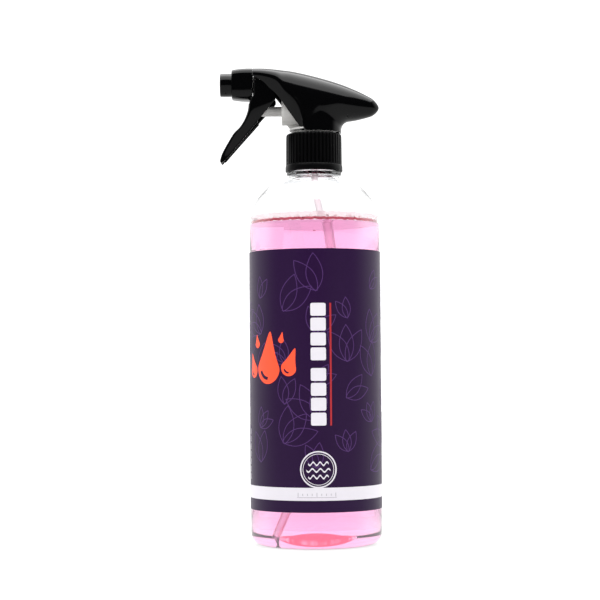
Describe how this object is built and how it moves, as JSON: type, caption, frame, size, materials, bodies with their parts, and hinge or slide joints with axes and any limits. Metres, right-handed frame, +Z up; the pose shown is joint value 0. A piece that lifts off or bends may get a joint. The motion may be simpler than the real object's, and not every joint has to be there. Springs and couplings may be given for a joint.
{
  "type": "trigger spray bottle of clay lubricant",
  "caption": "Clear round bottle of pink clay lubricant with a purple wrap-around label and a black trigger sprayer that squeezes, pumps, twists at the nozzle and unscrews.",
  "frame": {"origin": "middle of the object's box, on the ground that the bottle stands on; the bottle's axis is 8.2 mm towards +X", "axes": "+Z up along the bottle's axis, -X the way the nozzle points, +Y across the sprayer"},
  "size_m": [0.0911, 0.0746, 0.2704],
  "materials": {
    "clear_pet": "clear, polished",
    "label_film": "satin printed film",
    "pink_liquid": "clear liquid",
    "black_gloss": "gloss moulded",
    "black_satin": "satin moulded",
    "natural_plastic": "natural, slightly milky",
    "tube_plastic": "natural, slightly milky",
    "seal_foam": "soft foam",
    "seal_rubber": "soft, matt",
    "steel": "bright drawn wire and polished balls"
  },
  "bodies": {
    "bottle": {"bottle": "clear_pet", "label": "label_film", "clay_lubricant": "pink_liquid"},
    "head": {"pump_body": "natural_plastic", "shroud": "black_gloss", "tube_retainer": "natural_plastic", "neck_gasket": "seal_foam", "dip_tube": "tube_plastic", "channel_plug": "natural_plastic", "spinner": "natural_plastic", "return_spring": "steel"},
    "closure": {"closure": "black_satin"},
    "trigger": {"trigger": "black_gloss"},
    "piston": {"piston": "natural_plastic", "piston_seal": "seal_rubber", "back_seal": "seal_rubber"},
    "nozzle": {"nozzle_cap": "black_gloss", "nozzle_seal": "seal_rubber"},
    "inlet_ball": {"inlet_ball": "steel"},
    "outlet_ball": {"outlet_ball": "steel"}
  },
  "joints": [
    {"name": "head_lift", "type": "slide", "parent": "bottle", "child": "head", "axis": [0, 0, 1], "range_m": [0, 0.00634], "deforming": ["clay_lubricant"]},
    {"name": "closure_turn", "type": "hinge", "parent": "head", "child": "closure", "pos_m": [0.0082, 0, 0.22], "axis": [0, 0, 1], "range_deg": [0, 540]},
    {"name": "trigger_squeeze", "type": "hinge", "parent": "head", "child": "trigger", "pos_m": [-0.0213, 0, 0.262], "axis": [0, -1, 0], "range_deg": [0, 24], "stiffness_Nm_per_rad": 0.3, "springref_deg": -14.32},
    {"name": "piston_stroke", "type": "slide", "parent": "head", "child": "piston", "axis": [1, 0, 0], "range_m": [0, 0.0071], "deforming": ["return_spring"]},
    {"name": "nozzle_turn", "type": "hinge", "parent": "head", "child": "nozzle", "pos_m": [-0.035, 0, 0.2612], "axis": [-1, 0, 0], "continuous": true},
    {"name": "inlet_ball_lift", "type": "slide", "parent": "head", "child": "inlet_ball", "axis": [0, 0, 1], "range_m": [0, 0.0008]},
    {"name": "outlet_ball_lift", "type": "slide", "parent": "head", "child": "outlet_ball", "axis": [0, 0, 1], "range_m": [0, 0.0008]}
  ],
  "couplings": [
    {"joint": "piston_stroke", "follows": "trigger_squeeze", "m_per_rad": 0.01686},
    {"joint": "closure_turn", "follows": "head_lift", "rad_per_m": 1485.4}
  ]
}
